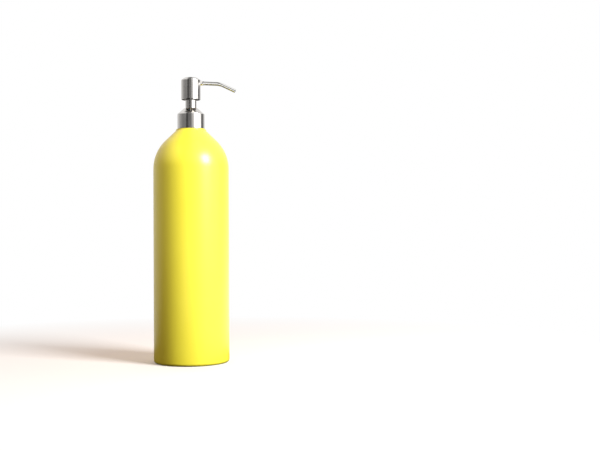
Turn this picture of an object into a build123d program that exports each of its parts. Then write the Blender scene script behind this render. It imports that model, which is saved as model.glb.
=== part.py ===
from build123d import *
from math import cos, pi, radians, sin, tan
import os

# Refillable soap bottle: a coated aluminium bottle with a steel-clad lotion pump screwed on its neck.
# Millimetres. The origin is the centre of the foot, +Z is up and the spout points to +X.

# Fits and clearances
glued_gap = 0.05  # radial gap between pieces that are pressed or glued together
running_gap = 0.08  # radial gap where one piece slides or turns in another
free_gap = 0.3  # gap between pieces of different bodies that must not touch

# Bottle
bottle_radius = 44.0
bottle_wall = 1.0
base_wall = 1.4
foot_round = 3.2  # outer corner between the wall and the foot
foot_land = 1.4  # width of the flat ring that the bottle stands on
push_up = 6.0  # rise of the domed base at the centre
shoulder_start = 226.0
shoulder_radius = 46.0
shoulder_angle = 46.0  # degrees from the vertical at which the round shoulder ends in a cone
root_step = 1.7  # how far the root under the closure stands out beyond the collar
root_height = 1.5
root_blend = 2.5
ledge_wall = 1.4
neck_room = 1.6  # between the pump's mouth and the inside of the neck
neck_wall = 1.6  # at the root of the neck's thread
neck_height = 15.6
rim_round = 0.6

# Closure
thread_depth = 1.2  # height of the neck's thread ridge
thread_clearance = 0.4  # between that ridge and the inside of the screw cap
cap_wall = 1.15
cap_top_wall = 1.2
cap_bevel = 1.6  # width of the bevel on the cap's upper edge, which the collar's cone follows
collar_wall = 0.7
collar_gap = 0.6  # between the ledge and the closure's lower edge
collar_corner = 1.5  # radius between the collar's side and its cone
collar_slope = 42.0  # degrees from the level
cone_height = 6.75
lip_round = 1.2  # radius between the cone and the flat lip on top
lip_gap = 0.35  # radial gap between the lip and the moving sleeve

# Pump body
gasket_thickness = 1.2
flange_thickness = 1.2
barrel_wall = 1.2
guide_wall = 1.47
guide_length = 5.0  # length of the guide inside the housing
guide_flange_thickness = 0.8
guide_flange_reach = 1.9  # how far the guide's flange stands out over the closure's hole
throat_length = 2.5  # inclined floor between the barrel and the valve
inlet_ball_radius = 2.5
outlet_ball_radius = 2.0
inlet_hole = 1.6
ball_lift = 1.5
ball_gap = 0.7  # radial room around each ball for the soap
retainer_thickness = 1.2
spider_bar = 1.0  # width of the bars that stop the balls
dip_radius = 3.0
dip_wall = 0.8
socket_depth = 11.0
socket_wall = 1.1
dip_clearance = 3.0  # between the dip tube's tip and the bottle's base
dip_cut_angle = 45.0
vent_radius = 0.7
housing_ribs = 4
housing_rib_width = 1.0
housing_rib_length = 16.0

# Plunger
sleeve_radius = 6.5
sleeve_wall = 0.5
stem_radius = 3.45
stem_bore = 2.0
stem_rib = 1.2
stem_ribs = 4
stop_thickness = 1.0
stop_step = 0.4  # how far the stop flange stands out beyond the sleeve
stroke = 12.0
piston_height = 7.5
piston_skirt = 0.9  # wall of the piston's sealing lips
piston_waist = 4.9
seat_flange = 1.7
seat_hole = 1.2
seat_spigot_length = 2.5
spring_pilot = 3.8  # length of the pilot inside the spring
wire_radius = 0.5
coil_radius = 5.1
coil_turns = 8
closed_turns = 1  # turns that lie closed at each end of the spring
coil_steps = 12  # points along the wire in each turn
spare_coil_room = 4.0  # what is left between the coils when the pump is pressed

# Head
head_radius = 11.4
head_height = 25.45
head_wall = 0.8
rim_gap = 0.37  # between the pressed head's rim and the collar's cone
hood_spare = 1.7  # between the pressed head's core and the collar's lip
bevel_width = 3.4
bevel_height = 2.6
bevel_round = 0.2  # inside the shell
insert_wall = 1.2
insert_top = 2.0
insert_ribs = 4
hub_wall = 0.9
spigot_radius = 4.4
spigot_length = 9.0

# Spout
spout_radius = 2.2
spout_wall = 0.5
spout_below_top = 5.7
spout_start = 5.0  # where the tube begins inside the head, from the axis
spout_bend_reach = 34.5
spout_tip_reach = 52.3
spout_droop = 2.5  # degrees
spout_tip_slope = 25.5  # degrees
spout_bend_radius = 22.0
ferrule_radius = 3.2
ferrule_length = 3.8
ferrule_lip = 0.25

# Radii that follow from the sleeve outwards, because each piece fits inside the next
guide_bore = sleeve_radius + running_gap
guide_radius = guide_bore + guide_wall
mouth_radius = guide_radius + glued_gap
mouth_outer = mouth_radius + barrel_wall
neck_bore = mouth_outer + neck_room
neck_radius = neck_bore + neck_wall
cap_hole = guide_radius + free_gap + running_gap
cap_bore = neck_radius + thread_depth + thread_clearance
cap_radius = cap_bore + cap_wall
collar_radius = cap_radius + glued_gap + collar_wall
root_radius = collar_radius + root_step
stop_radius = sleeve_radius + stop_step
barrel_bore = stop_radius + free_gap
housing_radius = barrel_bore + barrel_wall

# Heights that follow from the sizes above
cone_radius = bottle_radius - shoulder_radius * (1 - cos(radians(shoulder_angle)))
cone_z = shoulder_start + shoulder_radius * sin(radians(shoulder_angle))
root_z = cone_z + (cone_radius - root_radius) / tan(radians(shoulder_angle))
ledge_z = root_z + root_height
rim_z = ledge_z + neck_height
gasket_z = rim_z + gasket_thickness
flange_z = gasket_z + flange_thickness
cap_z = flange_z + cap_top_wall

# The collar's cone lies over the cap's bevel, and the pressed head's rim stops just above that cone
collar_rise = tan(radians(collar_slope))
cap_side_z = cap_z - cap_bevel * collar_rise
corner_lift = (1 - sin(radians(collar_slope))) / cos(radians(collar_slope))
corner_z = cap_side_z + (collar_wall + glued_gap) * corner_lift
collar_top_z = corner_z + cone_height
cone_at_rim_z = corner_z + (collar_radius - head_radius + head_wall) * collar_rise
head_z = cone_at_rim_z + rim_gap / cos(radians(collar_slope)) + stroke
head_top_z = head_z + head_height
insert_z = collar_top_z + stroke + hood_spare

# Inside of the bottle, parallel to its outside
inner_radius = bottle_radius - bottle_wall
inner_cone_radius = cone_radius - bottle_wall * cos(radians(shoulder_angle))
inner_cone_z = cone_z - bottle_wall * sin(radians(shoulder_angle))
inner_ledge_z = ledge_z - ledge_wall
inner_ledge_radius = inner_cone_radius - (inner_ledge_z - inner_cone_z) * tan(radians(shoulder_angle))
foot_outer = bottle_radius - foot_round
foot_inner = foot_outer - foot_land

with BuildPart() as bottle:
    with BuildSketch(Plane.XZ):
        with BuildLine():
            Line((0, push_up + base_wall), (0, push_up))
            TangentArc((0, push_up), (foot_inner, 0), tangent=(1, 0))
            Line((foot_inner, 0), (foot_outer, 0))
            TangentArc((foot_outer, 0), (bottle_radius, foot_round), tangent=(1, 0))
            Line((bottle_radius, foot_round), (bottle_radius, shoulder_start))
            TangentArc((bottle_radius, shoulder_start), (cone_radius, cone_z), tangent=(0, 1))
            Polyline(
                (cone_radius, cone_z),
                (root_radius, root_z),
                (root_radius, ledge_z),
                (neck_radius, ledge_z),
                (neck_radius, rim_z),
                (neck_bore, rim_z),
                (neck_bore, inner_ledge_z),
                (inner_ledge_radius, inner_ledge_z),
                (inner_cone_radius, inner_cone_z),
            )
            TangentArc(
                (inner_radius, shoulder_start), (inner_cone_radius, inner_cone_z), tangent=(0, 1)
            )
            Line((inner_radius, shoulder_start), (inner_radius, foot_round))
            TangentArc((foot_outer, bottle_wall), (inner_radius, foot_round), tangent=(1, 0))
            Line((foot_outer, bottle_wall), (foot_inner, base_wall))
            TangentArc((0, push_up + base_wall), (foot_inner, base_wall), tangent=(1, 0))
        profile = make_face()
        fillet(profile.vertices().sort_by_distance((root_radius, root_z))[0], root_blend)
        for rim_radius in (neck_radius, neck_bore):
            fillet(vertices().sort_by_distance((rim_radius, rim_z))[0], rim_round)
        fillet(vertices().sort_by_distance((root_radius, ledge_z))[0], root_height / 4)
        fillet(vertices().sort_by_distance((neck_bore, inner_ledge_z))[0], ledge_wall / 2)
    revolve(axis=Axis.Z)

# Collar: one drawn sheet, from the lower edge over the cone to the lip round the sleeve
with BuildPart() as collar_shell:
    with BuildSketch(Plane.XZ):
        with BuildLine():
            FilletPolyline(
                (collar_radius, ledge_z + collar_gap),
                (collar_radius, corner_z),
                (collar_radius - cone_height / collar_rise, collar_top_z),
                (sleeve_radius + lip_gap, collar_top_z),
                radius=[collar_corner, lip_round],
            )
            offset(amount=collar_wall, side=Side.LEFT)
        make_face()
    revolve(axis=Axis.Z)

# Screw cap: the threaded plastic cup glued into the collar; it presses the pump's flange on the gasket
with BuildPart() as screw_cap:
    with BuildSketch(Plane.XZ):
        with BuildLine():
            Polyline(
                (cap_bore, ledge_z + collar_gap),
                (cap_radius, ledge_z + collar_gap),
                (cap_radius, cap_side_z),
                (cap_radius - cap_bevel, cap_z),
                (cap_hole, cap_z),
                (cap_hole, flange_z),
                (cap_bore, flange_z),
                close=True,
            )
        make_face()
        fillet(vertices().sort_by_distance((cap_radius, cap_side_z))[0], collar_corner - collar_wall)
    revolve(axis=Axis.Z)
    chamfer(edges().filter_by(GeomType.CIRCLE).group_by(Axis.Z)[0], free_gap)

# Stem guide: snapped into the housing's mouth; its flange keeps the closure on the pump
guide_z = flange_z - guide_length
guide_flange_z = cap_z + free_gap
guide_flange_radius = cap_hole + guide_flange_reach

with BuildPart() as stem_guide:
    with BuildSketch(Plane.XY.offset(guide_z)):
        Circle(guide_radius)
    extrude(amount=guide_flange_z + guide_flange_thickness - guide_z)
    with BuildSketch(Plane.XY.offset(guide_flange_z)):
        Circle(guide_flange_radius)
    extrude(amount=guide_flange_thickness)
    with Locations((0, 0, guide_z)):
        Hole(guide_bore)
    guide_edges = edges().filter_by(GeomType.CIRCLE).group_by(Axis.Z)[-1]
    chamfer(guide_edges.sort_by(SortBy.LENGTH)[-1], free_gap)

# Plunger heights, from the stop flange under the guide down to the plug at the stem's end
stop_z = guide_z - free_gap
piston_z = stop_z - stop_thickness - free_gap - piston_height
seat_z = piston_z - free_gap
spring_top_z = seat_z - seat_flange
spring_length = stroke + coil_turns * 2 * wire_radius + spare_coil_room
retainer_z = spring_top_z - spring_length
floor_z = retainer_z - retainer_thickness

# Each valve is a ball on a 45 degree seat
slant = cos(radians(45))
inlet_cage = inlet_ball_radius + ball_gap
inlet_top_room = inlet_ball_radius + ball_lift + free_gap
inlet_ball_z = floor_z - inlet_top_room
inlet_seat_z = inlet_ball_z - (inlet_ball_radius + glued_gap) / slant + inlet_hole
socket_top_z = inlet_seat_z - inlet_hole
socket_radius = dip_radius + glued_gap
housing_bottom_z = socket_top_z - socket_depth
taper_z = guide_z - barrel_wall - (mouth_outer - housing_radius)

with BuildPart() as pump_housing:
    with BuildSketch(Plane.XZ):
        with BuildLine():
            Polyline(
                (socket_radius, housing_bottom_z),
                (socket_radius + socket_wall, housing_bottom_z),
                (socket_radius + socket_wall, socket_top_z),
                (inlet_cage + barrel_wall, inlet_ball_z),
                (inlet_cage + barrel_wall, floor_z - throat_length),
                (housing_radius, floor_z),
                (housing_radius, taper_z),
                (mouth_outer, guide_z - barrel_wall),
                (mouth_outer, gasket_z),
                (neck_radius, gasket_z),
                (neck_radius, flange_z),
                (mouth_radius, flange_z),
                (mouth_radius, guide_z),
                (barrel_bore, guide_z),
                (barrel_bore, floor_z),
                (inlet_cage, floor_z),
                (inlet_cage, inlet_seat_z + inlet_cage - inlet_hole),
                (inlet_hole, inlet_seat_z),
                (inlet_hole, socket_top_z),
                (socket_radius, socket_top_z),
                close=True,
            )
        make_face()
    revolve(axis=Axis.Z)
    # Stiffening ribs on the barrel, flush with the wider mouth
    with BuildSketch(Plane.XY.offset(taper_z - housing_rib_length)):
        with PolarLocations(0, housing_ribs // 2, angular_range=180):
            Rectangle(2 * mouth_outer, housing_rib_width)
        Circle(housing_radius - barrel_wall / 2, mode=Mode.SUBTRACT)
    extrude(amount=guide_z - barrel_wall - taper_z + housing_rib_length)
    # Air vent, closed at rest by the piston's waist
    with BuildSketch(Plane.XZ.offset(-barrel_bore)):
        with Locations((0, piston_z + piston_height / 2)):
            Circle(vent_radius)
    extrude(amount=barrel_bore, both=True, mode=Mode.SUBTRACT)

with BuildPart() as neck_gasket:
    with BuildSketch(Plane.XY.offset(rim_z)):
        Circle(neck_radius)
        Circle(mouth_outer + glued_gap, mode=Mode.SUBTRACT)
    extrude(amount=gasket_thickness)

with BuildPart() as ball_retainer:
    with BuildSketch(Plane.XY.offset(floor_z)):
        Circle(barrel_bore - free_gap)
        Circle(inlet_cage, mode=Mode.SUBTRACT)
        with PolarLocations(0, 2):
            Rectangle(2 * inlet_cage + spider_bar, spider_bar)
    extrude(amount=retainer_thickness)
    with BuildSketch(Plane.XY.offset(retainer_z)):
        Circle(coil_radius - wire_radius - free_gap)
        Circle(inlet_cage, mode=Mode.SUBTRACT)
    extrude(amount=retainer_thickness)

with BuildPart() as inlet_ball:
    with Locations((0, 0, inlet_ball_z)):
        Sphere(inlet_ball_radius)

# Dip tube: from the housing's socket to just above the domed base, its tip cut at a slant
dip_bottom_z = push_up + base_wall + dip_clearance

with BuildPart() as dip_tube:
    with BuildSketch(Plane.XY.offset(dip_bottom_z)):
        Circle(dip_radius)
        Circle(dip_radius - dip_wall, mode=Mode.SUBTRACT)
    extrude(amount=socket_top_z - dip_bottom_z)
    slant_plane = Plane(
        origin=(dip_radius, 0, dip_bottom_z),
        z_dir=(sin(radians(dip_cut_angle)), 0, cos(radians(dip_cut_angle))),
    )
    split(bisect_by=slant_plane, keep=Keep.TOP)

# Return spring: a round wire between the retainer and the plug, with closed end turns that are ground flat
coil_foot_z = retainer_z + glued_gap
coil_top_z = spring_top_z - glued_gap
closed_pitch = 2 * wire_radius + glued_gap
open_pitch = (coil_top_z - coil_foot_z - 2 * closed_turns * closed_pitch) / (coil_turns - 2 * closed_turns)


def coil_point(turn):
    """A point on the wire's centre line: it rises slowly in the closed turns and evenly between them."""
    closed_below = min(turn, closed_turns) + max(turn - coil_turns + closed_turns, 0)
    open_below = min(max(turn - closed_turns, 0), coil_turns - 2 * closed_turns)
    angle = 2 * pi * turn
    height = coil_foot_z + closed_pitch * closed_below + open_pitch * open_below
    return (coil_radius * cos(angle), coil_radius * sin(angle), height)


with BuildPart() as return_spring:
    with BuildLine() as coil:
        Spline(*[coil_point(step / coil_steps) for step in range(coil_turns * coil_steps + 1)])
    with BuildSketch(Plane(origin=coil.line @ 0, z_dir=coil.line % 0)):
        Circle(wire_radius)
    sweep(path=coil.line, is_frenet=True)
    split(bisect_by=Plane.XY.offset(coil_foot_z), keep=Keep.TOP)
    split(bisect_by=Plane.XY.offset(coil_top_z), keep=Keep.BOTTOM)

# Stem: a hollow shaft with a valve cage at its lower end, a stop flange and long ribs inside the sleeve
sleeve_bore = sleeve_radius - sleeve_wall
rib_reach = sleeve_bore - glued_gap
outlet_cage = outlet_ball_radius + ball_gap
seat_top_z = seat_z + seat_spigot_length
outlet_seat_low_z = seat_top_z - (outlet_cage - glued_gap - seat_hole) + glued_gap
outlet_ball_z = outlet_seat_low_z - seat_hole + (outlet_ball_radius + glued_gap) / slant
cage_top_z = outlet_ball_z + outlet_ball_radius + ball_lift + free_gap

with BuildPart() as stem:
    with BuildSketch(Plane.XY.offset(seat_z)):
        Circle(stem_radius)
    extrude(amount=insert_z - seat_z)
    with BuildSketch(Plane.XY.offset(stop_z - stop_thickness)):
        Circle(stop_radius)
    extrude(amount=stop_thickness)
    with BuildSketch(Plane.XY.offset(stop_z)):
        with PolarLocations(0, stem_ribs // 2, angular_range=180):
            Rectangle(2 * rib_reach, stem_rib)
    extrude(amount=insert_z - stop_z)
    with BuildSketch(Plane.XY.offset(insert_z - stop_thickness)):
        Circle(rib_reach)
    extrude(amount=stop_thickness)
    with BuildSketch(Plane.XY.offset(insert_z)):
        Circle(spigot_radius)
    extrude(amount=spigot_length)
    chamfer(edges().filter_by(GeomType.CIRCLE).group_by(Axis.Z)[-1], stem_rib / 2)
    with BuildSketch(Plane.XY.offset(seat_z)):
        Circle(stem_bore)
    extrude(amount=insert_z + spigot_length - seat_z, mode=Mode.SUBTRACT)
    with BuildSketch(Plane.XY.offset(seat_z)):
        Circle(outlet_cage)
    extrude(amount=cage_top_z - seat_z, mode=Mode.SUBTRACT)
    # Cross bar that stops the rising ball and lets the soap past
    with BuildSketch(Plane.XY.offset(cage_top_z)):
        Rectangle(2 * stem_bore + spider_bar, spider_bar)
    extrude(amount=retainer_thickness)

with BuildPart() as stem_sleeve:
    with BuildSketch(Plane.XY.offset(stop_z)):
        Circle(sleeve_radius)
        Circle(sleeve_bore, mode=Mode.SUBTRACT)
    extrude(amount=insert_z - stop_z)
    chamfer(edges().group_by(Axis.Z)[0], sleeve_wall / 3)

# Piston: two flared lips that grip the barrel, joined by a narrow waist on the stem
piston_bore = stem_radius + running_gap
piston_radius = barrel_bore - running_gap
lip_height = piston_height / 2 - piston_skirt

with BuildPart() as piston:
    with BuildSketch(Plane.XZ):
        with BuildLine():
            Polyline(
                (piston_bore, piston_z),
                (piston_waist, piston_z),
                (piston_waist, piston_z + lip_height),
                (piston_radius - piston_skirt, piston_z),
                (piston_radius, piston_z),
                (piston_radius, piston_z + piston_skirt),
                (piston_waist + piston_skirt, piston_z + piston_height / 2),
                (piston_radius, piston_z + piston_height - piston_skirt),
                (piston_radius, piston_z + piston_height),
                (piston_radius - piston_skirt, piston_z + piston_height),
                (piston_waist, piston_z + piston_height - lip_height),
                (piston_waist, piston_z + piston_height),
                (piston_bore, piston_z + piston_height),
                close=True,
            )
        make_face()
    revolve(axis=Axis.Z)

# Outlet seat: the plug pressed into the stem's end, with the ball's cone above and the spring's pilot below
with BuildPart() as outlet_seat:
    with BuildSketch(Plane.XZ):
        with BuildLine():
            Polyline(
                (seat_hole, spring_top_z - spring_pilot),
                (coil_radius - wire_radius - free_gap - seat_hole, spring_top_z - spring_pilot),
                (coil_radius - wire_radius - free_gap, spring_top_z),
                (coil_radius + wire_radius + free_gap, spring_top_z),
                (coil_radius + wire_radius + free_gap, seat_z),
                (outlet_cage - glued_gap, seat_z),
                (outlet_cage - glued_gap, seat_top_z),
                (seat_hole, outlet_seat_low_z),
                close=True,
            )
        make_face()
    revolve(axis=Axis.Z)

with BuildPart() as outlet_ball:
    with Locations((0, 0, outlet_ball_z)):
        Sphere(outlet_ball_radius)

# Head shell: a drawn steel cap with a bevelled top, open underneath, with a hole for the spout
spout_z = head_top_z - spout_below_top
spout_axis = Plane(
    origin=(0, 0, spout_z),
    z_dir=(cos(radians(spout_droop)), 0, -sin(radians(spout_droop))),
)

with BuildPart() as head_shell:
    with BuildSketch(Plane.XZ):
        with BuildLine():
            FilletPolyline(
                (head_radius, head_z),
                (head_radius, head_top_z - bevel_height),
                (head_radius - bevel_width, head_top_z),
                (0, head_top_z),
                radius=[bevel_round + head_wall, bevel_round + head_wall],
            )
            offset(amount=head_wall, side=Side.LEFT)
        make_face()
    revolve(axis=Axis.Z)
    with BuildSketch(spout_axis):
        Circle(spout_radius + glued_gap)
    extrude(amount=2 * head_radius, mode=Mode.SUBTRACT)

# Head insert: a ribbed plastic core, with the stem's socket and the channel to the spout
insert_radius = head_radius - head_wall - glued_gap
insert_top_z = head_top_z - head_wall - glued_gap
hub_radius = sleeve_radius + hub_wall
channel_radius = spout_radius - spout_wall

with BuildPart() as head_insert:
    with BuildSketch(Plane.XY.offset(insert_z)):
        Circle(hub_radius)
        with PolarLocations(0, insert_ribs // 2, angular_range=180):
            Rectangle(2 * insert_radius, insert_wall)
        Circle(insert_radius, mode=Mode.INTERSECT)
    extrude(amount=insert_top_z - insert_z)
    with BuildSketch(Plane.XY.offset(insert_top_z - bevel_height - insert_top)):
        Circle(insert_radius)
    extrude(amount=bevel_height + insert_top)
    insert_face = faces().sort_by(Axis.Z)[-1]
    chamfer(insert_face.edges(), length=bevel_width, length2=bevel_height, reference=insert_face)
    with BuildSketch(spout_axis):
        Circle(spout_radius + insert_wall)
    extrude(amount=insert_radius - insert_wall)
    with BuildSketch(Plane.XY.offset(insert_z)):
        Circle(spigot_radius + glued_gap)
    extrude(amount=spigot_length, mode=Mode.SUBTRACT)
    with BuildSketch(Plane.XY.offset(insert_z)):
        Circle(stem_bore)
    extrude(amount=spout_z - insert_z, mode=Mode.SUBTRACT)
    with BuildSketch(spout_axis):
        Circle(channel_radius)
    extrude(amount=spout_start, mode=Mode.SUBTRACT)
    with BuildSketch(spout_axis.offset(spout_start)):
        Circle(spout_radius + glued_gap)
    extrude(amount=head_radius, mode=Mode.SUBTRACT)

# Spout: a thin tube with one soft bend; its bore opens at the tip
spout_foot = spout_axis.offset(spout_start).origin
bend_z = spout_z - spout_bend_reach * tan(radians(spout_droop))
tip_z = bend_z - (spout_tip_reach - spout_bend_reach) * tan(radians(spout_tip_slope))

with BuildPart() as spout:
    with BuildLine() as spout_line:
        FilletPolyline(
            spout_foot,
            (spout_bend_reach, 0, bend_z),
            (spout_tip_reach, 0, tip_z),
            radius=spout_bend_radius,
        )
    with BuildSketch(spout_axis.offset(spout_start)):
        Circle(spout_radius)
        Circle(spout_radius - spout_wall, mode=Mode.SUBTRACT)
    sweep(path=spout_line.line)

# Spout ferrule: a trumpet-shaped ring round the tube, cut to sit on the round head
ferrule_end = head_radius + ferrule_length

with BuildPart() as spout_ferrule:
    with BuildSketch(Plane(origin=(0, 0, spout_z), x_dir=spout_axis.z_dir, z_dir=(0, -1, 0))):
        with BuildLine():
            Line((0, spout_radius + glued_gap), (ferrule_end, spout_radius + glued_gap))
            Line(
                (ferrule_end, spout_radius + glued_gap),
                (ferrule_end, spout_radius + glued_gap + ferrule_lip),
            )
            TangentArc(
                (ferrule_end, spout_radius + glued_gap + ferrule_lip),
                (head_radius, ferrule_radius),
                tangent=(-1, 0),
            )
            Line((head_radius, ferrule_radius), (0, ferrule_radius))
            Line((0, ferrule_radius), (0, spout_radius + glued_gap))
        make_face()
    revolve(axis=Axis(origin=(0, 0, spout_z), direction=spout_axis.z_dir))
    with BuildSketch(Plane.XY.offset(head_z)):
        Circle(head_radius + glued_gap)
    extrude(amount=head_height, mode=Mode.SUBTRACT)

pieces = {
    "bottle": bottle,
    "collar_shell": collar_shell,
    "screw_cap": screw_cap,
    "neck_gasket": neck_gasket,
    "stem_guide": stem_guide,
    "pump_housing": pump_housing,
    "ball_retainer": ball_retainer,
    "inlet_ball": inlet_ball,
    "dip_tube": dip_tube,
    "return_spring": return_spring,
    "stem": stem,
    "stem_sleeve": stem_sleeve,
    "piston": piston,
    "outlet_seat": outlet_seat,
    "outlet_ball": outlet_ball,
    "head_shell": head_shell,
    "head_insert": head_insert,
    "spout": spout,
    "spout_ferrule": spout_ferrule,
}

os.makedirs("parts", exist_ok=True)
for name, piece in pieces.items():
    piece.part.label = name
    export_step(piece.part, f"parts/{name}.step")
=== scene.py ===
from math import asin, atan2, cos, pi, radians, sin, tan

import bpy
import numpy as np
from mathutils import Matrix, Vector


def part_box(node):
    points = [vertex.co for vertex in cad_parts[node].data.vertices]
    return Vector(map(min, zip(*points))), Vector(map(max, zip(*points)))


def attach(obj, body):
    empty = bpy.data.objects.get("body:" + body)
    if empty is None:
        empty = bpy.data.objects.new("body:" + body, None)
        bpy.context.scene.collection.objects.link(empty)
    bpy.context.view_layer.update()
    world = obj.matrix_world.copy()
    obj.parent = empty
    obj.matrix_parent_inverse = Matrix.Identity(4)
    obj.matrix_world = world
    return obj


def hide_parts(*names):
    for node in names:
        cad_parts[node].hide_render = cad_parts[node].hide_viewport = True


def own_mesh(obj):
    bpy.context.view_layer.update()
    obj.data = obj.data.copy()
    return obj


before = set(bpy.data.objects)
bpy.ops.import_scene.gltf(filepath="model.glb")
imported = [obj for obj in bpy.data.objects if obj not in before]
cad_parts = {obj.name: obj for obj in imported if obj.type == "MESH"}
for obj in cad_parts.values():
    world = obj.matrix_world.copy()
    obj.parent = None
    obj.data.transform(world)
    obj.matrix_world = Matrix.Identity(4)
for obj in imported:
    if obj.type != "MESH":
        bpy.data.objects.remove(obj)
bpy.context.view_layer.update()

# A refillable soap bottle with a steel-clad pump. All lengths are in metres, the origin is the
# centre of the foot, +Z is up and the spout points to +X.
MM = 0.001

# Bottle
bottle_radius = 44.0 * MM
bottle_wall = 1.0 * MM
base_wall = 1.4 * MM
foot_round = 3.2 * MM
foot_land = 1.4 * MM
push_up = 6.0 * MM
shoulder_start = 226.0 * MM
shoulder_radius = 46.0 * MM
shoulder_angle = radians(46.0)
root_radius = 17.7 * MM
root_blend = 2.5 * MM
ledge_wall = 1.4 * MM
ledge_round = 0.25  # rounding of the ledge's rim, as a share of the ledge's height
neck_radius = 12.5 * MM
neck_bore = 10.9 * MM
neck_height = 15.6 * MM
rim_round = 0.6 * MM
rim_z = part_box("bottle")[1].z
ledge_z = rim_z - neck_height

# Screw thread of the neck and of the cap
thread_pitch = 4.2333 * MM
thread_height = 1.15 * MM
thread_crest = 0.9 * MM
thread_foot = 2.1 * MM
thread_turns = 1.7
thread_start = 3.0 * MM  # from the rim down to the middle of the first ridge
thread_fade = radians(25.0)  # over this the ridge rises at its start and sinks at its end

# Closure
collar_low, collar_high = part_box("collar_shell")
collar_radius = collar_high.x
collar_wall = 0.7 * MM
collar_corner = 1.5 * MM
collar_slope = radians(42.0)
cone_height = 6.75 * MM
lip_round = 1.2 * MM
lip_gap = 0.35 * MM
sheet_edge = 0.2 * MM  # rounding of the cut edges of the steel sheets
cap_low, cap_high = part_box("screw_cap")
cap_wall = 1.15 * MM
cap_top_wall = 1.2 * MM
cap_bevel = 1.6 * MM
cap_hole = 8.43 * MM

# Head
head_low, head_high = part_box("head_shell")
head_radius = head_high.x
head_wall = 0.8 * MM
bevel_width = 3.4 * MM
bevel_height = 2.6 * MM
bevel_round = 1.0 * MM
sleeve_low, sleeve_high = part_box("stem_sleeve")
sleeve_wall = 0.5 * MM
sleeve_edge = 0.15 * MM

# Spout
spout_radius = 2.2 * MM
spout_wall = 0.5 * MM
spout_edge = 0.12 * MM
spout_z = head_high.z - 5.7 * MM
spout_start = 5.0 * MM
spout_bend_reach = 34.5 * MM
spout_tip_reach = 52.3 * MM
spout_droop = radians(2.5)
spout_tip_slope = radians(25.5)
spout_bend_radius = 22.0 * MM
ferrule_radius = 3.2 * MM
ferrule_length = 3.8 * MM
ferrule_lip = 0.25 * MM
fit_gap = 0.05 * MM

# Painted dark reflection on the spout's underside, a darker and duller band: it starts at a height
# over the tube's axis, in radii, and is full lower than that by the second number
underside_shade_from = -0.45
underside_shade_soft = 0.3
underside_shade_colour = (0.20, 0.20, 0.24)
underside_shade_rough = 0.25

# Return spring
spring_low, spring_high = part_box("return_spring")
wire_radius = 0.5 * MM
coil_radius = 5.1 * MM
coil_turns = 8
closed_turns = 1  # at each end

# Camera, worked out from the photograph's frame of 600 by 451 pixels
photo_width = 600.0
photo_height = 451.0
photo_focal = 900.0
photo_scale = 1.175 * MM  # one pixel at the bottle's axis
photo_axis = 191.4
photo_foot = 360.9
photo_horizon = 236.4
camera_roll = radians(-0.3)
camera_near = 10.0 * MM
sensor_width = 36.0

# Light from the room that isn't a reflection, and a part of it that is added as far as it comes
# from behind
even_light = 0.41
back_light = 1.2
warm_white = (1.0, 0.76, 0.62)

# Floor: what the camera sees is paper, which fades to white between two distances from the bottle
floor_reach = 4.0
paper_tone = 0.72
paper_glow = 0.14
paper_near = 0.14
paper_far = 0.60

# What other rays see of the floor: a long dark strip along X, which ends at these places, and a
# paler room beyond it
dark_tone = 0.03
dark_right = 0.14
dark_front = 0.2
dark_back = 0.09
dark_soft = 0.03
room_light = 0.5

# Reflections see that room brighter on the right and behind, and dark in front but for one lane
room_shine = 1.6
room_shine_back = 0.8
ahead_shine = 3.0
ahead_start = 0.6
ahead_left = -0.45
ahead_right = 0.1

# Reflections look up at the dark shapes round the object, then at the wall, then at the ceiling:
# each starts and is full at the sine of an angle over the floor
wall_from = sin(radians(14.0))
wall_full = sin(radians(24.0))
ceiling_from = sin(radians(54.0))
ceiling_full = sin(radians(65.0))
ceiling_tone = 0.1
ceiling_end = 0.12  # X of the direction in which the dark ceiling ends, on the spout's side
ceiling_soft = 0.14

# What polished steel sees round the object: degrees about the axis from the camera's side,
# positive towards the spout, and a brightness where 1 is the white background
studio_peak = 2.2
studio_tones = [
    (-180, 1.0),
    (-144, 0.88),
    (-125, 0.82),
    (-112, 0.70),
    (-97, 0.48),
    (-86, 0.44),
    (-73, 0.3),
    (-60, 0.26),
    (-37, 0.26),
    (-31, 0.03),
    (-25, 0.03),
    (-19, 0.15),
    (-7, 0.19),
    (8, 0.22),
    (15, 0.55),
    (25, 0.72),
    (33, 1.1),
    (40, 2.0),
    (52, 2.2),
    (90, 2.2),
    (95, 1.6),
    (101, 0.6),
    (108, 0.15),
    (120, 0.15),
    (132, 0.45),
    (150, 0.95),
    (180, 1.0),
]

# The same higher up, on the wall: a bright room with two dark shapes in front
wall_peak = 1.7
wall_tones = [
    (-180, 1.05),
    (-120, 1.05),
    (-90, 1.38),
    (-60, 1.7),
    (-38, 1.7),
    (-33, 0.2),
    (-9, 0.2),
    (-7.5, 1.3),
    (-3, 1.3),
    (-1.5, 0.3),
    (9, 0.3),
    (13, 1.7),
    (60, 1.7),
    (90, 1.38),
    (120, 1.05),
    (180, 1.05),
]

# Fineness of the round surfaces
ROUND_STEPS = 192  # round the axis
TUBE_STEPS = 64  # round the spout and the balls
WIRE_STEPS = 14  # round the spring's wire
COIL_STEPS = 40  # along each turn of the wire
FLARE_STEPS = 14  # along the ferrule
WALL_ROWS = 24  # up the bottle's straight wall
THREAD_ROW = 0.2 * MM  # spacing of the points up a threaded wall
ARC_STEP = radians(4.0)
SHARP_ANGLE = radians(40.0)


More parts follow.
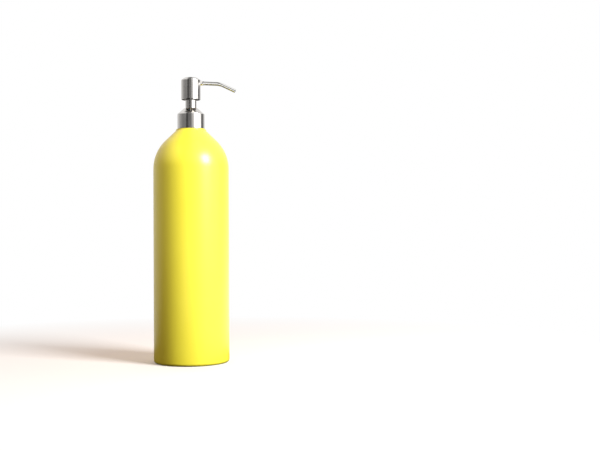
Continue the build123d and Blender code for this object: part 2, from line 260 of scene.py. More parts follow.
class Wire:
    """A shader socket that can be used in arithmetic: an expression adds its Math nodes to the
    tree."""

    def __init__(self, tree, socket):
        self.tree = tree
        self.socket = socket

    def node(self, kind, settings=None, inputs=None, output=0):
        """Adds any node: its settings first, then a value or a link for each socket named or
        numbered."""
        made = self.tree.nodes.new(kind)
        for key, value in (settings or {}).items():
            if key == "stops":
                set_stops(made.color_ramp, value)
            else:
                setattr(made, key, value)
        for key, value in (inputs or {}).items():
            if isinstance(value, Wire):
                self.tree.links.new(value.socket, made.inputs[key])
            else:
                made.inputs[key].default_value = value
        return Wire(self.tree, made.outputs[output] if made.outputs else None)

    def sibling(self, output):
        """Another output of the same node."""
        return Wire(self.tree, self.socket.node.outputs[output])

    def math(self, operation, first, second=0.0):
        return self.node("ShaderNodeMath", {"operation": operation}, {0: first, 1: second})

    def clamped(self):
        """The value held between 0 and 1."""
        return self.node("ShaderNodeClamp", inputs={"Value": self})

    def __add__(self, other):
        return self.math("ADD", self, other)

    def __radd__(self, other):
        return self.math("ADD", other, self)

    def __sub__(self, other):
        return self.math("SUBTRACT", self, other)

    def __rsub__(self, other):
        return self.math("SUBTRACT", other, self)

    def __mul__(self, other):
        return self.math("MULTIPLY", self, other)

    def __rmul__(self, other):
        return self.math("MULTIPLY", other, self)

    def __truediv__(self, other):
        return self.math("DIVIDE", self, other)

    def __rtruediv__(self, other):
        return self.math("DIVIDE", other, self)

    def __pow__(self, other):
        return self.math("POWER", self, other)


def set_stops(ramp, stops):
    """Gives a colour ramp its stops, a list of (position, colour)."""
    while len(ramp.elements) < len(stops):
        ramp.elements.new(1.0)
    for element, (position, colour) in zip(ramp.elements, stops):
        element.position = position
        element.color = (*colour, 1.0)


def new_material(name):
    """An empty node material and the wire that its nodes are made from."""
    made = bpy.data.materials.new(name)
    made.use_nodes = True
    made.node_tree.nodes.clear()
    return made, Wire(made.node_tree, None)


def finish_material(start, constants, links):
    """Adds the Principled shader with its constant sockets and its links, and the output node."""
    shader = start.node("ShaderNodeBsdfPrincipled", inputs={**constants, **links})
    start.node("ShaderNodeOutputMaterial", inputs={"Surface": shader})


def mix_colours(start, factor, first, second):
    """A colour between two colours, each of which is three numbers or a wire."""
    first, second = (c if isinstance(c, Wire) else (*c, 1.0) for c in (first, second))
    return start.node(
        "ShaderNodeMix", {"data_type": "RGBA"}, {0: factor, 6: first, 7: second}, output=2
    )


def coordinates(start, kind="Object"):
    """Texture coordinates of a kind."""
    return start.node("ShaderNodeTexCoord").sibling(kind)


def split(start, vector):
    """The three parts of a vector."""
    x = start.node("ShaderNodeSeparateXYZ", inputs={"Vector": vector})
    return x, x.sibling(1), x.sibling(2)


def place(start, scale=(1.0, 1.0, 1.0)):
    """Object coordinates, stretched by a scale along each axis."""
    vector = coordinates(start)
    return start.node("ShaderNodeMapping", inputs={"Vector": vector, "Scale": scale})


def noise(start, where, scale=1.0, detail=2.0, roughness=0.5):
    """A noise value from 0 to 1; its scale is in waves a metre."""
    return start.node(
        "ShaderNodeTexNoise",
        inputs={"Vector": where, "Scale": scale, "Detail": detail, "Roughness": roughness},
    )


def bump(start, height, strength, distance):
    """A normal tilted by a height field."""
    return start.node(
        "ShaderNodeBump", inputs={"Height": height, "Strength": strength, "Distance": distance}
    )


def turned_place(start, around, along):
    """Coordinates that run in rings about the axis: slow round the piece, fast along z minus the
    radius."""
    x, y, z = split(start, coordinates(start))
    radius = (x * x + y * y) ** 0.5
    return start.node(
        "ShaderNodeCombineXYZ", inputs={0: x * around, 1: y * around, 2: (z - radius) * along}
    )


def yellow_coating():
    """Satin powder coating: an even lemon yellow with a faint cloud of tone and a fine orange
    peel."""
    made, start = new_material("yellow_coating")
    cloud = noise(start, place(start), scale=14.0, detail=3.0)
    peel = noise(start, place(start), scale=900.0)
    finish_material(
        start,
        {"Metallic": 0.0, "Specular IOR Level": 0.5, "Coat Roughness": 0.2},
        {
            "Base Color": mix_colours(start, cloud, (0.93, 0.83, 0.045), (0.97, 0.88, 0.065)),
            "Roughness": 0.30 + 0.10 * peel,
            "Coat Weight": 0.10 + 0.05 * cloud,
            "Normal": bump(start, peel, strength=0.06, distance=0.1 * MM),
        },
    )
    return made


def brushed_steel(name, dark, bright, rough, around=25.0, along=9000.0):
    """Turned and brushed steel: fine rings of varying roughness and tone, which blur reflections
    along the axis more than round it."""
    made, start = new_material(name)
    rings = noise(start, turned_place(start, around, along), detail=5.0, roughness=0.6)
    smudge = noise(start, place(start), scale=60.0, detail=3.0)
    finish_material(
        start,
        {"Metallic": 1.0, "Anisotropic": 0.5, "Anisotropic Rotation": 0.25},
        {
            "Base Color": mix_colours(start, rings, dark, bright),
            "Roughness": rough + 0.10 * rings + 0.05 * smudge,
            "Normal": bump(start, rings, strength=0.08, distance=0.02 * MM),
        },
    )
    return made


def tube_steel():
    """Drawn steel tube: long scratches along the tube and a soft sheen, and a painted dark
    reflection on the underside, a darker and duller band."""
    made, start = new_material("tube_steel")
    lines = noise(start, place(start, (40.0, 5000.0, 5000.0)), detail=3.0)
    height = start.node("ShaderNodeAttribute", {"attribute_name": "tube_height"}).sibling("Fac")
    # Painted dark reflection: the base colour darkens and the roughness rises where the tube faces
    # down
    underside_shade = ((underside_shade_from - height) / underside_shade_soft).clamped()
    clean = mix_colours(start, lines, (0.57, 0.56, 0.54), (0.65, 0.64, 0.62))
    finish_material(
        start,
        {"Metallic": 1.0},
        {
            "Base Color": mix_colours(start, underside_shade, clean, underside_shade_colour),
            "Roughness": 0.04 + 0.05 * lines + underside_shade_rough * underside_shade,
            "Normal": bump(start, lines, strength=0.05, distance=0.01 * MM),
        },
    )
    return made


def bare_aluminium():
    """The bottle's neck and inside: drawn aluminium under a clear lacquer."""
    made, start = new_material("bare_aluminium")
    rings = noise(start, turned_place(start, around=12.0, along=4000.0), detail=4.0)
    finish_material(
        start,
        {"Metallic": 1.0, "Coat Roughness": 0.15},
        {
            "Base Color": mix_colours(start, rings, (0.66, 0.65, 0.62), (0.78, 0.77, 0.75)),
            "Roughness": 0.28 + 0.14 * rings,
            "Coat Weight": 0.2 + 0.1 * rings,
            "Normal": bump(start, rings, strength=0.05, distance=0.02 * MM),
        },
    )
    return made


def moulded_plastic(name, low, high, rough, through=0.0):
    """Moulded plastic: a faint flow pattern, a fine grain and a little light inside."""
    made, start = new_material(name)
    flow = noise(start, place(start, (1.0, 1.0, 0.35)), scale=120.0, detail=3.0)
    grain = noise(start, place(start), scale=2500.0)
    finish_material(
        start,
        {"Subsurface Weight": through, "Subsurface Scale": 2.0 * MM, "Metallic": 0.0},
        {
            "Base Color": mix_colours(start, flow, low, high),
            "Roughness": rough + 0.10 * flow,
            "Normal": bump(start, grain, strength=0.04, distance=0.05 * MM),
        },
    )
    return made


def seal_foam():
    """Closed-cell foam: small round cells that roughen the face."""
    made, start = new_material("seal_foam")
    cells = start.node("ShaderNodeTexVoronoi", inputs={"Vector": place(start), "Scale": 2200.0})
    finish_material(
        start,
        {"Metallic": 0.0},
        {
            "Base Color": mix_colours(start, cells, (0.80, 0.79, 0.76), (0.90, 0.89, 0.87)),
            "Roughness": 0.75 + 0.15 * cells,
            "Normal": bump(start, cells, strength=0.4, distance=0.1 * MM),
        },
    )
    return made


def ball_steel():
    """Polished bearing steel with faint handling marks."""
    made, start = new_material("ball_steel")
    marks = noise(start, place(start), scale=900.0, detail=4.0)
    finish_material(
        start,
        {"Metallic": 1.0},
        {
            "Base Color": mix_colours(start, marks, (0.68, 0.68, 0.69), (0.76, 0.76, 0.77)),
            "Roughness": 0.06 + 0.06 * marks,
        },
    )
    return made


def line(first, last, count):
    """Points from first to last, without the last, evenly spaced."""
    share = np.linspace(0.0, 1.0, count, endpoint=False)[:, None]
    return np.array(first) * (1 - share) + np.array(last) * share


def arc(centre, radius, first, last):
    """Points on an arc about a centre, from one angle to another, every few degrees."""
    angles = np.linspace(first, last, max(2, round(abs(last - first) / ARC_STEP)) + 1)
    return np.array(centre) + radius * np.stack([np.cos(angles), np.sin(angles)], axis=-1)


def rounded(points, radii):
    """A profile of (radius, height) points with its inner corners rounded: each arc touches both of
    its sides at radius times the tangent of half the turn from the corner."""
    corners = [np.array(point, float) for point in points]
    stretches = [corners[0][None]]
    for before, corner, after, radius in zip(corners, corners[1:], corners[2:], radii):
        into = (corner - before) / np.linalg.norm(corner - before)
        out = (after - corner) / np.linalg.norm(after - corner)
        turn = atan2(into[0] * out[1] - into[1] * out[0], into @ out)
        if radius * turn == 0.0:
            stretches.append(corner[None])
            continue
        inward = np.array([-into[1], into[0]]) * np.sign(turn)
        centre = corner - into * radius * tan(abs(turn) / 2) + inward * radius
        first = atan2(-inward[1], -inward[0])
        stretches.append(arc(centre, radius, first, first + turn))
    stretches.append(corners[-1][None])
    return np.concatenate(stretches)


def rounded_loop(points, radii):
    """A closed profile with all its corners rounded, started in the middle of its last side."""
    middle = (np.array(points[0]) + np.array(points[-1])) / 2
    return rounded([middle, *points, middle], radii)[:-1]


def inset(points, wall):
    """A profile moved to its left by a wall: a corner moves by the sum of its sides' normals, times
    the wall, over one plus the cosine of the turn."""
    corners = np.array(points, float)
    sides = np.diff(corners, axis=0)
    sides /= np.linalg.norm(sides, axis=1)[:, None]
    left = np.stack([-sides[:, 1], sides[:, 0]], axis=-1)
    before = np.concatenate([left[:1], left])
    after = np.concatenate([left, left[-1:]])
    return corners + wall * (before + after) / (1 + np.sum(before * after, axis=1))[:, None]


def skin(name, grid, closed_profile):
    """A mesh over a grid of points, closed round its first direction. The second direction is
    closed too, or else starts and ends on the axis, where each end row becomes one point."""
    steps, rows = grid.shape[:2]
    index = np.arange(steps * rows).reshape(steps, rows)
    if closed_profile:
        index = np.concatenate([index, index[:, :1]], axis=1)
    else:
        index[:, [0, -1]] = index[0, [0, -1]]
    following = np.roll(index, -1, axis=0)
    quads = np.stack([index[:, :-1], following[:, :-1], following[:, 1:], index[:, 1:]], axis=-1)
    used, corners = np.unique(quads.ravel(), return_inverse=True)
    faces = [tuple(dict.fromkeys(face)) for face in corners.reshape(-1, 4).tolist()]
    mesh = bpy.data.meshes.new(name)
    mesh.from_pydata(grid.reshape(-1, 3)[used].tolist(), [], faces)
    made = bpy.data.objects.new(name, mesh)
    bpy.context.scene.collection.objects.link(made)
    return smoothed(made)


def smoothed(made):
    """Smooth shading, with edges kept sharp where the surface turns sharply."""
    made.data.shade_smooth()
    made.data.set_sharp_from_angle(angle=SHARP_ANGLE)
    return made


def lathe(name, profile, ridge=None, closed=True, steps=ROUND_STEPS):
    """A surface of revolution: the profile's radius turned about the Z axis at its height, with a
    ridge added to the radius where a function of the angle, the point's number and the height gives
    one."""
    angle = np.linspace(0.0, 2 * pi, steps, endpoint=False)[:, None]
    radius, height = profile[None, :, 0], profile[None, :, 1]
    if ridge is not None:
        radius = radius + ridge(angle, np.arange(len(profile))[None, :], height)
    grid = np.stack([radius * np.cos(angle), radius * np.sin(angle), height + 0 * angle], axis=-1)
    return skin(name, grid, closed)


def thread(angle, height, first_z):
    """Height of a screw ridge: a trapezoid about a line that drops one pitch each turn, faded out
    at both ends of its turns."""
    total = np.zeros(np.broadcast(angle, height).shape)
    for turn in range(int(thread_turns) + 1):
        along = angle + 2 * pi * turn
        distance = np.abs(height - first_z + thread_pitch * along / (2 * pi))
        flank = (thread_foot - thread_crest) / 2
        shape = np.clip((thread_foot / 2 - distance) / flank, 0.0, 1.0)
        run_in = np.clip(along / thread_fade, 0.0, 1.0)
        run_out = np.clip((thread_turns * 2 * pi - along) / thread_fade, 0.0, 1.0)
        total = np.maximum(total, shape * run_in * run_out)
    return total * thread_height


def dress(piece, body, slot, materials, *nodes):
    """Gives a new piece its materials and its body, and hides the CAD nodes that it stands for; the
    slot is not used.
    """
    for material in materials:
        piece.data.materials.append(material)
    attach(piece, body)
    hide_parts(*nodes)
    return piece


def bottle_outside():
    """The coated outside: domed base, foot, wall, round shoulder, cone and the ledge under the
    closure."""
    side = bottle_radius - shoulder_radius
    cone_radius = side + shoulder_radius * cos(shoulder_angle)
    cone_z = shoulder_start + shoulder_radius * sin(shoulder_angle)
    root_z = cone_z + (cone_radius - root_radius) / tan(shoulder_angle)
    foot_outer = bottle_radius - foot_round
    dome, dome_angle = base_dome(push_up)
    ledge = [
        (cone_radius, cone_z),
        (root_radius, root_z),
        (root_radius, ledge_z),
        (neck_radius + rim_round, ledge_z),
    ]
    return np.concatenate(
        [
            arc((0.0, push_up - dome), dome, pi / 2, pi / 2 - dome_angle),
            arc((foot_outer, foot_round), foot_round, -pi / 2, 0.0)[:-1],
            line((bottle_radius, foot_round), (bottle_radius, shoulder_start), WALL_ROWS),
            arc((side, shoulder_start), shoulder_radius, 0.0, shoulder_angle)[:-1],
            rounded(ledge, [root_blend, (ledge_z - root_z) * ledge_round]),
        ]
    )


def base_dome(rise):
    """Radius and half angle of the base's dome, from its width inside the foot ring and its
    rise."""
    foot_inner = bottle_radius - foot_round - foot_land
    dome = (foot_inner**2 + rise**2) / (2 * rise)
    return dome, asin(foot_inner / dome)


def neck_rows():
    """Number of points up the neck's wall, below the rim's rounding."""
    return round((neck_height - rim_round) / THREAD_ROW)


def bottle_neck():
    """The neck's wall with a point every thread row, and its rounded rim."""
    return np.concatenate(
        [
            line((neck_radius, ledge_z), (neck_radius, rim_z - rim_round), neck_rows()),
            arc((neck_radius - rim_round, rim_z - rim_round), rim_round, 0.0, pi / 2),
            arc((neck_bore + rim_round, rim_z - rim_round), rim_round, pi / 2, pi),
        ]
    )


def bottle_inside():
    """The inside, one wall behind the outside, from the neck's bore down to the middle of the
    base."""
    side = bottle_radius - shoulder_radius
    inner_arc = shoulder_radius - bottle_wall
    cone_radius = side + inner_arc * cos(shoulder_angle)
    cone_z = shoulder_start + inner_arc * sin(shoulder_angle)
    roof_z = ledge_z - ledge_wall
    roof_radius = cone_radius - (roof_z - cone_z) * tan(shoulder_angle)
    dome, dome_angle = base_dome(push_up)
    neck_foot = [
        (neck_bore, rim_z - neck_height / 2),
        (neck_bore, roof_z),
        (roof_radius, roof_z),
        (cone_radius, cone_z),
    ]
    return np.concatenate(
        [
            rounded(neck_foot, [ledge_wall / 2, 0.0]),
            arc((side, shoulder_start), inner_arc, shoulder_angle, 0.0)[1:],
            arc((bottle_radius - foot_round, foot_round), foot_round - bottle_wall, 0.0, -pi / 2),
            arc((0.0, push_up - dome + base_wall), dome, pi / 2 - dome_angle, pi / 2),
        ]
    )


def make_bottle(coating, bare):
    """One-piece drawn bottle, coated outside and bare on the neck and inside: the outside, the neck
    and the inside are one profile, turned about the Z axis, with the screw ridge added to the
    neck's radius."""
    outside = bottle_outside()
    profile = np.concatenate([outside, bottle_neck(), bottle_inside()])
    profile[[0, -1], 0] = 0.0

    def ridge(angle, row, height):
        on_wall = (row >= len(outside)) & (row < len(outside) + neck_rows())
        return thread(angle, height, rim_z - thread_start) * on_wall

    made = lathe("bottle_shell", profile, ridge, closed=False)
    row_of_face = np.tile(np.arange(len(profile) - 1), ROUND_STEPS)
    bare_faces = (row_of_face >= len(outside)).astype(np.int32)
    made.data.polygons.foreach_set("material_index", bare_faces)
    return dress(made, "bottle", "yellow_coating", [coating, bare], "bottle")


def make_collar(steel):
    """Drawn steel collar: a cylinder, a rounded corner, a cone and a flat lip round the sleeve, as
    a profile and its inset by the sheet's wall, turned about the Z axis."""
    corner_z = collar_high.z - cone_height
    outside = [
        (collar_radius, collar_low.z),
        (collar_radius, corner_z),
        (collar_radius - cone_height / tan(collar_slope), collar_high.z),
        (sleeve_high.x + lip_gap, collar_high.z),
    ]
    corners = [sheet_edge, collar_corner, lip_round, sheet_edge]
    inner_corners = [sheet_edge, lip_round - collar_wall, collar_corner - collar_wall, sheet_edge]
    profile = rounded_loop([*outside, *inset(outside, collar_wall)[::-1]], corners + inner_corners)
    made = lathe("collar_cover", profile)
    return dress(made, "closure", "brushed_steel", [steel], "collar_shell")


def make_screw_cap(plastic):
    """Screw cap inside the collar: a profile turned about the Z axis, with a screw ridge taken off
    the inner wall's radius, which fits between the turns of the neck's."""
    outer = cap_high.x
    inner = outer - cap_wall
    roof_z = cap_high.z - cap_top_wall
    outside = rounded(
        [
            (inner, cap_low.z),
            (outer, cap_low.z),
            (outer, cap_high.z - cap_bevel * tan(collar_slope)),
            (outer - cap_bevel, cap_high.z),
            (cap_hole, cap_high.z),
            (cap_hole, roof_z),
            (inner, roof_z),
        ],
        [sheet_edge, collar_corner - collar_wall, 0.0, 0.0, 0.0],
    )
    wall = line((inner, roof_z), (inner, cap_low.z), round((roof_z - cap_low.z) / THREAD_ROW))[1:]

    def ridge(angle, row, height):
        between = rim_z - thread_start - thread_pitch / 2
        return -thread(angle, height, between) * (row >= len(outside))

    made = lathe("cap_with_thread", np.concatenate([outside, wall]), ridge)
    return dress(made, "closure", "white_plastic", [plastic], "screw_cap")


def make_head_cover(steel):
    """Head shell, a drawn steel cap with a bevelled top, open underneath: a profile and its inset
    by the sheet's wall, turned about the Z axis, and bored by a tube along the spout's axis."""
    outside = [
        (head_radius, head_low.z),
        (head_radius, head_high.z - bevel_height),
        (head_radius - bevel_width, head_high.z),
        (0.0, head_high.z),
    ]
    inner_round = bevel_round - head_wall
    profile = np.concatenate(
        [
            rounded(inset(outside, head_wall)[::-1], [inner_round, inner_round])[:-1],
            rounded([inset(outside, head_wall)[0], *outside], [0.0, bevel_round, bevel_round]),
        ]
    )
    profile[[0, -1], 0] = 0.0
    made = lathe("head_cover", profile, closed=False)
    points, directions = spout_path()
    reach = np.array([head_radius / 2, 2 * head_radius])[:, None]
    core = points[0] + directions[0] * np.repeat(reach, 2, axis=0)
    radii = (spout_radius + fit_gap) * np.array([0.0, 1.0, 1.0, 0.0])
    bore(made, tube_grid(core, np.repeat(directions[:1], 4, axis=0), radii))
    return dress(made, "head", "brushed_steel", [steel], "head_shell")


def bore(piece, core):
    """Cuts a closed tube of points out of a piece."""
    cutter = skin("cutter", core, False)
    cut = piece.modifiers.new("bore", "BOOLEAN")
    cut.operation = "DIFFERENCE"
    cut.solver = "EXACT"
    cut.object = cutter
    evaluated = piece.evaluated_get(bpy.context.evaluated_depsgraph_get())
    piece.data = bpy.data.meshes.new_from_object(evaluated)
    piece.modifiers.clear()
    bpy.data.objects.remove(cutter)
    smoothed(piece)


def make_sleeve(steel):
    """Steel tube over the stem: a rectangle with rounded corners, turned about the Z axis."""
    outer = sleeve_high.x
    inner = outer - sleeve_wall
    low, high = sleeve_low.z, sleeve_high.z
    corners = [(outer, low), (outer, high), (inner, high), (inner, low)]
    profile = rounded_loop(corners, [sleeve_edge] * 4)
    return dress(lathe("sleeve_tube", profile), "head", "brushed_steel", [steel], "stem_sleeve")


def spout_path():
    """The spout's axis in the XZ plane: two straight runs joined by an arc, as points and
    directions."""
    foot = (spout_start * cos(spout_droop), spout_z - spout_start * sin(spout_droop))
    bend_z = spout_z - spout_bend_reach * tan(spout_droop)
    tip_z = bend_z - (spout_tip_reach - spout_bend_reach) * tan(spout_tip_slope)
    corners = [foot, (spout_bend_reach, bend_z), (spout_tip_reach, tip_z)]
    points = rounded(corners, [spout_bend_radius])
    bend = np.linspace(spout_droop, spout_tip_slope, len(points) - 2)
    slope = np.concatenate([[spout_droop], bend, [spout_tip_slope]])
    return points, np.stack([np.cos(slope), -np.sin(slope)], axis=-1)


def tube_grid(points, directions, radii):
    """Rings about a path in the XZ plane: each ring stands square to the path's direction at its
    point."""
    angle = np.linspace(0.0, 2 * pi, TUBE_STEPS, endpoint=False)[:, None]
    rise = radii[None, :] * np.cos(angle)
    across = -radii[None, :] * np.sin(angle)
    x = points[None, :, 0] - rise * directions[None, :, 1]
    z = points[None, :, 1] + rise * directions[None, :, 0]
    return np.stack([x, across, z], axis=-1)


def make_spout(steel):
    """Bent steel tube, open at the tip: a circle carried along the spout's axis, outside and back
    inside, a little smaller at the tip for a broken edge. Each point's height over the axis, in
    radii, is the cosine of its angle round the tube times that of the tube's slope."""
    points, directions = spout_path()
    inner = spout_radius - spout_wall
    tip = points[-1] - directions[-1] * np.array([[spout_edge], [0.0]])
    rings = np.concatenate([points[:-1], tip, points[-1:], points[::-1]])
    tip_ways = np.repeat(directions[-1:], 3, axis=0)
    ways = np.concatenate([directions[:-1], tip_ways, directions[::-1]])
    radii = np.full(len(rings), inner)
    radii[: len(points)] = spout_radius
    radii[len(points)] = spout_radius - spout_edge
    made = skin("spout_tube", tube_grid(rings, ways, radii), True)
    angle = np.linspace(0.0, 2 * pi, TUBE_STEPS, endpoint=False)[:, None]
    heights = np.cos(angle) * ways[None, :, 0]
    attribute = made.data.attributes.new("tube_height", "FLOAT", "POINT")
    attribute.data.foreach_set("value", heights.ravel().astype(np.float32))
    return dress(made, "head", "brushed_steel", [steel], "spout")


def make_ferrule(steel):
    """Trumpet ring at the spout's root: its end flares to the tube, and its foot follows the round
    head, at the square root of the head's radius squared less the sideways reach squared."""
    angle = np.linspace(0.0, 2 * pi, TUBE_STEPS, endpoint=False)[:, None]
    inner = spout_radius + fit_gap
    lip = inner + ferrule_lip
    rise = ferrule_radius - lip
    flare_radius = (ferrule_length**2 + rise**2) / (2 * rise)
    reach = np.linspace(1.0, 0.0, FLARE_STEPS)
    flare = lip + flare_radius - np.sqrt(flare_radius**2 - (reach * ferrule_length) ** 2)
    radii = np.concatenate([flare, [inner, inner]])[None, :]
    share = np.concatenate([1.0 - reach, [1.0, 0.0]])[None, :]
    up = radii * np.cos(angle)
    across = -radii * np.sin(angle)
    seat = np.sqrt((head_radius + fit_gap) ** 2 - across**2) + up * tan(spout_droop)
    along = seat * (1.0 - share) + (head_radius + ferrule_length) * share
    x = along * cos(spout_droop) + up * sin(spout_droop)
    z = spout_z - along * sin(spout_droop) + up * cos(spout_droop)
    made = skin("spout_flare", np.stack([x, across, z], axis=-1), True)
    return dress(made, "head", "brushed_steel", [steel], "spout_ferrule")


def make_spring(steel):
    """Return spring: a round wire on a helix whose height follows the angle slowly in the closed
    end turns and evenly between. The wire's centre starts and ends in the planes of the ends, where
    it is ground flat."""
    turns = np.linspace(0.0, coil_turns, coil_turns * COIL_STEPS + 1)
    closed_pitch = 2 * wire_radius + fit_gap
    share = np.clip((turns - closed_turns) / (coil_turns - 2 * closed_turns), 0.0, 1.0)
    ends = np.minimum(turns, closed_turns) + np.maximum(turns - coil_turns + closed_turns, 0.0)
    climb = spring_high.z - spring_low.z - 2 * closed_pitch * closed_turns
    angle = turns * 2 * pi
    height = spring_low.z + closed_pitch * ends + climb * share
    centre = np.stack([coil_radius * np.cos(angle), coil_radius * np.sin(angle), height], axis=-1)
    along = np.gradient(centre, axis=0)
    along /= np.linalg.norm(along, axis=1)[:, None]
    outward = np.stack([np.cos(angle), np.sin(angle), 0 * angle], axis=-1)
    side = np.cross(along, outward)
    ring = np.linspace(0.0, 2 * pi, WIRE_STEPS, endpoint=False)[:, None, None]
    radii = np.concatenate([[0.0], np.full(len(turns), wire_radius), [0.0]])[None, :, None]
    twice = np.concatenate([[0], np.arange(len(turns)), [len(turns) - 1]])
    grid = centre[twice] + radii * (np.cos(ring) * outward[twice] + np.sin(ring) * side[twice])
    grid[..., 2] = np.clip(grid[..., 2], spring_low.z, spring_high.z)
    made = skin("coil_spring", grid, False)
    dress(made, "pump_body", "spring_steel", [steel], "return_spring")
    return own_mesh(made)


def make_ball(name, node, body, steel):
    """Polished valve ball: a half circle turned about its own axis."""
    low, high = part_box(node)
    radius = (high.z - low.z) / 2
    profile = arc((0.0, low.z + radius), radius, -pi / 2, pi / 2)
    profile[[0, -1], 0] = 0.0
    made = lathe(name, profile, closed=False, steps=TUBE_STEPS)
    return dress(made, body, "ball_steel", [steel], node)


def paint(materials):
    """Gives each CAD node that stays its material."""
    for node, material in materials.items():
        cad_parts[node].material_slots[0].material = material


def floor_paper():
    """The floor's surface. The camera sees paper that keeps the shadow and fades to white further
    out, and other rays see a dark strip under the bottle and a pale room beyond it, which in
    reflections is dark in front but for one bright lane."""
    made, start = new_material("floor_paper")
    where = coordinates(start)
    distance = start.node("ShaderNodeVectorMath", {"operation": "LENGTH"}, {0: where}, output=1)
    camera = start.node("ShaderNodeLightPath")
    mirror = camera.sibling("Is Glossy Ray")
    x, y, _ = split(start, where)
    right = ((x - dark_right) / dark_soft).clamped()
    behind = ((y - dark_back) / dark_soft).clamped()
    before = ((0.0 - dark_front - y) / dark_soft).clamped()
    outside = start.math("MAXIMUM", start.math("MAXIMUM", right, behind), before)
    light = dark_tone + (room_light - dark_tone) * outside
    across_lane = start.math("MINIMUM", x - ahead_left, ahead_right - x)
    into_lane = start.math("MINIMUM", across_lane, 0.0 - ahead_start - y)
    lane = ahead_shine * (into_lane / dark_soft).clamped()
    sides = start.math("MAXIMUM", room_shine * right, room_shine_back * behind)
    shine = start.math("MAXIMUM", start.math("MAXIMUM", sides, lane), dark_tone)
    strength = light + (shine - light) * mirror
    around = start.node("ShaderNodeEmission", inputs={"Strength": strength})
    tone = (paper_tone, paper_tone, paper_tone, 1.0)
    paper = start.node("ShaderNodeBsdfDiffuse", inputs={"Color": tone})
    glow = start.node("ShaderNodeEmission", inputs={"Strength": paper_glow})
    lit = start.node("ShaderNodeAddShader", inputs={0: paper, 1: glow})
    white = start.node("ShaderNodeEmission", inputs={"Strength": 1.0})
    fade = ((distance - paper_near) / (paper_far - paper_near)).clamped()
    seen = start.node("ShaderNodeMixShader", inputs={0: fade, 1: lit, 2: white})
    both = start.node("ShaderNodeMixShader", inputs={0: camera, 1: around, 2: seen})
    start.node("ShaderNodeOutputMaterial", inputs={"Surface": both})
    return made


def make_floor():
    """A plain pale floor."""
    half = floor_reach
    corners = [(-half, -half, 0), (half, -half, 0), (half, half, 0), (-half, half, 0)]
    mesh = bpy.data.meshes.new("floor")
    mesh.from_pydata(corners, [], [(0, 1, 2, 3)])
    mesh.materials.append(floor_paper())
    floor = bpy.data.objects.new("floor", mesh)
    bpy.context.scene.collection.objects.link(floor)


def make_lamp(name, side, azimuth, elevation, distance, watts):
    """A square soft box lamp that looks at the middle of the object from an angle: azimuth 0 is the
    camera's side and 90 is the spout's side."""
    lamp = bpy.data.lights.new(name, "AREA")
    lamp.size = side
    lamp.energy = watts
    made = bpy.data.objects.new(name, lamp)
    bpy.context.scene.collection.objects.link(made)
    around, up = radians(azimuth), radians(elevation)
    way = Vector((sin(around) * cos(up), -cos(around) * cos(up), sin(up)))
    middle = Vector((0.0, 0.0, head_high.z / 2))
    turn = way.to_track_quat("Z", "Y").to_matrix().to_4x4()
    made.matrix_world = Matrix.Translation(middle + way * distance) @ turn


def toned(start, around, tones, peak):
    """A brightness that follows a list of (degrees, tone) about the axis; no tone is over the
    peak."""
    stops = [(angle / 360 + 0.5, (tone / peak,) * 3) for angle, tone in tones]
    return start.node("ShaderNodeValToRGB", {"stops": stops}, {0: around}) * peak


def make_world():
    """White to the camera, the studio's tones to reflections and an even light, stronger from
    behind, to everything else."""
    world = bpy.data.worlds.new("studio")
    bpy.context.scene.world = world
    world.use_nodes = True
    world.node_tree.nodes.clear()
    start = Wire(world.node_tree, None)
    x, y, z = split(start, coordinates(start, "Generated"))
    around = start.math("ARCTAN2", x, 0.0 - y) / (2 * pi) + 0.5
    shapes = toned(start, around, studio_tones, studio_peak)
    wall = toned(start, around, wall_tones, wall_peak)
    wall_share = ((z - wall_from) / (wall_full - wall_from)).clamped()
    side = shapes + (wall - shapes) * wall_share
    ceiling_height = ((z - ceiling_from) / (ceiling_full - ceiling_from)).clamped()
    ceiling_share = ceiling_height * ((ceiling_end - x) / ceiling_soft).clamped()
    studio = side + (ceiling_tone - side) * ceiling_share
    camera = start.node("ShaderNodeLightPath")
    mirror = camera.sibling("Is Glossy Ray")
    white = start.math("MAXIMUM", camera, camera.sibling("Is Transmission Ray"))
    even = even_light + back_light * y.clamped()
    other = even + (studio - even) * mirror
    plain = start.math("MAXIMUM", white, mirror)
    light = start.node(
        "ShaderNodeBackground",
        inputs={
            "Color": mix_colours(start, plain, warm_white, (1.0, 1.0, 1.0)),
            "Strength": other + (1.0 - other) * white,
        },
    )
    start.node("ShaderNodeOutputWorld", inputs={"Surface": light})


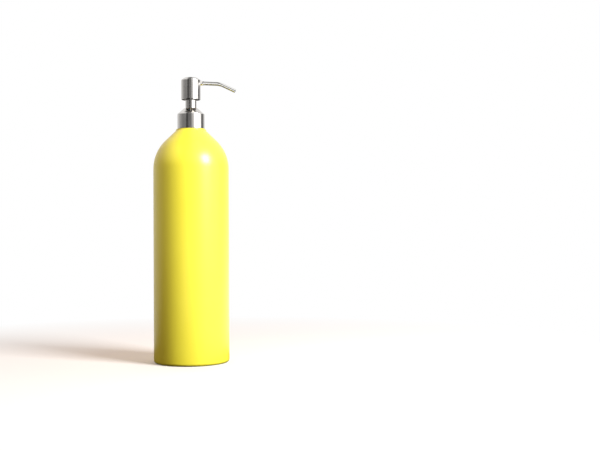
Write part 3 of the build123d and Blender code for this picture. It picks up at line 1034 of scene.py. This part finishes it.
def make_camera():
    """The photograph's camera: level but for a small pitch and roll, and beside the bottle, so that
    the bottle stands left of the middle of the frame."""
    camera = bpy.data.cameras.new("camera")
    camera.sensor_width = sensor_width
    camera.lens = photo_focal * sensor_width / photo_width
    camera.clip_start = camera_near
    made = bpy.data.objects.new("camera", camera)
    bpy.context.scene.collection.objects.link(made)
    sideways = (photo_width / 2 - photo_axis) * photo_scale
    height = (photo_foot - photo_horizon) * photo_scale
    distance = photo_focal * photo_scale
    pitch = atan2(photo_horizon - photo_height / 2, photo_focal)
    turn = Matrix.Rotation(pi / 2 + pitch, 4, "X") @ Matrix.Rotation(camera_roll, 4, "Z")
    made.matrix_world = Matrix.Translation((sideways, -distance, height)) @ turn
    bpy.context.scene.camera = made


make_camera()
make_world()
make_floor()
make_lamp("window_lamp", side=0.5, azimuth=54.0, elevation=27.0, distance=1.4, watts=33.0)

coating = yellow_coating()
aluminium = bare_aluminium()
tube = tube_steel()
polished = ball_steel()
foam = seal_foam()
steel = brushed_steel(
    "brushed_steel", dark=(0.54, 0.52, 0.50), bright=(0.70, 0.68, 0.65), rough=0.08
)
wire = brushed_steel(
    "spring_wire",
    dark=(0.42, 0.42, 0.42),
    bright=(0.58, 0.58, 0.58),
    rough=0.22,
    around=400.0,
    along=3000.0,
)
white = moulded_plastic(
    "white_plastic", low=(0.80, 0.80, 0.78), high=(0.88, 0.88, 0.86), rough=0.30, through=0.1
)
natural = moulded_plastic(
    "natural_plastic", low=(0.72, 0.74, 0.72), high=(0.82, 0.84, 0.82), rough=0.38, through=0.3
)

make_bottle(coating, aluminium)
make_collar(steel)
make_screw_cap(white)
make_head_cover(steel)
make_sleeve(steel)
make_spout(tube)
make_ferrule(steel)
make_spring(wire)
make_ball("lower_ball", "inlet_ball", "inlet_valve", polished)
make_ball("upper_ball", "outlet_ball", "outlet_valve", polished)
paint(
    {
        "neck_gasket": foam,
        "stem_guide": white,
        "pump_housing": natural,
        "ball_retainer": white,
        "dip_tube": natural,
        "stem": white,
        "piston": natural,
        "outlet_seat": white,
        "head_insert": white,
    }
)

bpy.context.scene.view_settings.view_transform = "Standard"
